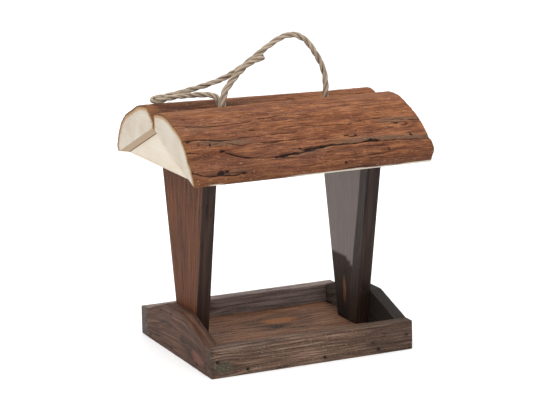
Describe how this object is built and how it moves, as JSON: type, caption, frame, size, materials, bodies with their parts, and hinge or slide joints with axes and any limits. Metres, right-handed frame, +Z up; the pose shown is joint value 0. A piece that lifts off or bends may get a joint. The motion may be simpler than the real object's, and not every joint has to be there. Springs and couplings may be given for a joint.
{
  "type": "bird table",
  "caption": "Rustic wooden bird table with a nailed tray, tapered end posts, a roof of bark slabs and a rope to hang it by.",
  "frame": {"origin": "middle of the tray's underside, on the surface that it stands on", "axes": "+X along the tray and the roof's ridge, -Y towards the front slab, +Z up"},
  "size_m": [0.265, 0.2224, 0.329],
  "materials": {
    "tray_wood": "weathered dark brown stain, matt",
    "post_wood": "dark reddish brown stain, satin",
    "wedge_wood": "pale sawn softwood, matt",
    "bark_slab": "reddish brown bark with pale sawn ends",
    "nail_steel": "dull wire nails",
    "jute": "rough twisted natural fibre"
  },
  "bodies": {
    "root": {"front_rail": "tray_wood", "back_rail": "tray_wood", "left_end_board": "tray_wood", "right_end_board": "tray_wood", "floor_board": "tray_wood", "left_post": "post_wood", "right_post": "post_wood", "left_gable_wedge": "wedge_wood", "right_gable_wedge": "wedge_wood", "front_roof_slab": "bark_slab", "back_roof_slab": "bark_slab", "front_rail_nails": "nail_steel", "back_rail_nails": "nail_steel", "left_end_board_nails": "nail_steel", "right_end_board_nails": "nail_steel", "left_post_nail": "nail_steel", "right_post_nail": "nail_steel", "post_foot_nails": "nail_steel", "wedge_nails": "nail_steel", "front_slab_nails": "nail_steel", "back_slab_nails": "nail_steel", "rope_handle": "jute", "rope_tail": "jute", "left_rope_knot": "jute", "right_rope_knot": "jute"}
  },
  "joints": []
}
